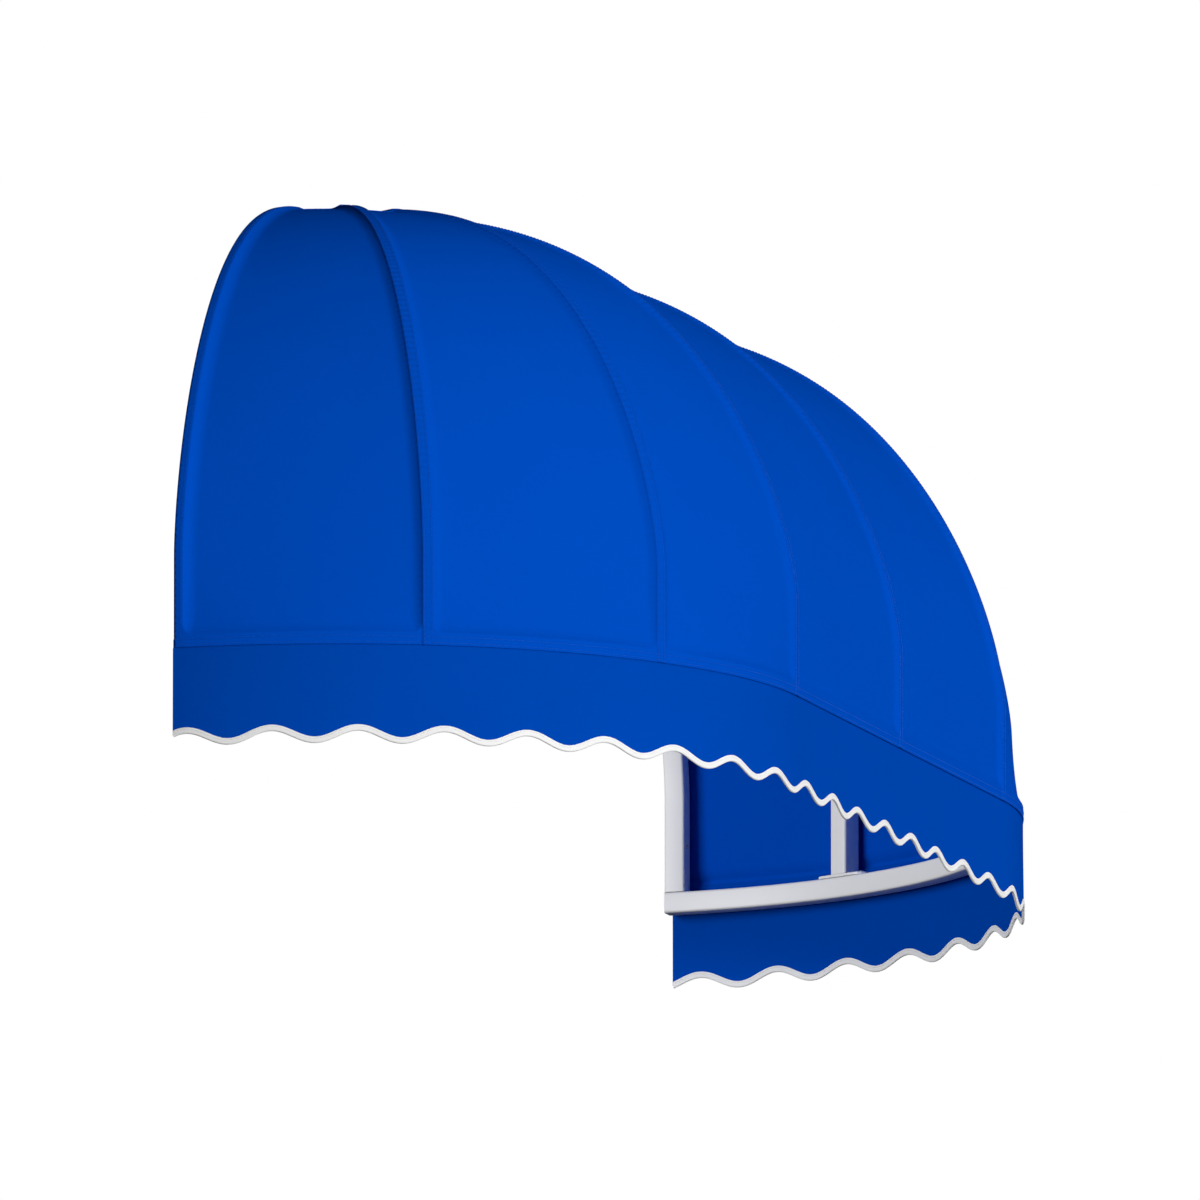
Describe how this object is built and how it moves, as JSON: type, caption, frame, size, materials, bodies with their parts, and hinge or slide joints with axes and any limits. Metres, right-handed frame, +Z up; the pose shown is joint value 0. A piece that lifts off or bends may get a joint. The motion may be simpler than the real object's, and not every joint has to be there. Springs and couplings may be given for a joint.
{
  "type": "window awning",
  "caption": "Fixed elongated dome window awning: gored blue cloth over curved square-tube ribs and bows, with a scalloped hanging valance bound in white.",
  "frame": {"origin": "middle of the wall header tube's back face, which lies on the wall plane", "axes": "+X along the wall, +Y into the wall, +Z up; the awning stands out towards -Y and hangs below the origin"},
  "size_m": [1.941, 0.5985, 0.7207],
  "materials": {
    "frame_powder_coat": "satin white powder coat",
    "screw_zinc": "zinc plated",
    "awning_cloth": "plain blue woven awning cloth",
    "binding_tape": "white woven binding tape"
  },
  "bodies": {
    "root": {"front_bow_tube": "frame_powder_coat", "top_bow_tube": "frame_powder_coat", "wall_header_tube": "frame_powder_coat", "wall_arch_left": "frame_powder_coat", "wall_arch_right": "frame_powder_coat", "rib_1": "frame_powder_coat", "rib_2": "frame_powder_coat", "rib_3": "frame_powder_coat", "rib_4": "frame_powder_coat", "rib_5": "frame_powder_coat", "rib_6": "frame_powder_coat", "rib_7": "frame_powder_coat", "rib_1_foot_plate": "frame_powder_coat", "rib_2_foot_plate": "frame_powder_coat", "rib_3_foot_plate": "frame_powder_coat", "rib_4_foot_plate": "frame_powder_coat", "rib_5_foot_plate": "frame_powder_coat", "rib_6_foot_plate": "frame_powder_coat", "rib_7_foot_plate": "frame_powder_coat", "rib_1_crown_plate": "frame_powder_coat", "rib_2_crown_plate": "frame_powder_coat", "rib_3_crown_plate": "frame_powder_coat", "rib_4_crown_plate": "frame_powder_coat", "rib_5_crown_plate": "frame_powder_coat", "rib_6_crown_plate": "frame_powder_coat", "rib_7_crown_plate": "frame_powder_coat", "rib_1_screw_a": "screw_zinc", "rib_1_screw_b": "screw_zinc", "rib_2_screw_a": "screw_zinc", "rib_2_screw_b": "screw_zinc", "rib_3_screw_a": "screw_zinc", "rib_3_screw_b": "screw_zinc", "rib_4_screw_a": "screw_zinc", "rib_4_screw_b": "screw_zinc", "rib_5_screw_a": "screw_zinc", "rib_5_screw_b": "screw_zinc", "rib_6_screw_a": "screw_zinc", "rib_6_screw_b": "screw_zinc", "rib_7_screw_a": "screw_zinc", "rib_7_screw_b": "screw_zinc", "gore_1": "awning_cloth", "gore_2": "awning_cloth", "gore_3": "awning_cloth", "gore_4": "awning_cloth", "gore_5": "awning_cloth", "gore_6": "awning_cloth", "gore_7": "awning_cloth", "gore_8": "awning_cloth", "top_panel": "awning_cloth", "valance": "awning_cloth", "valance_binding": "binding_tape"}
  },
  "joints": []
}
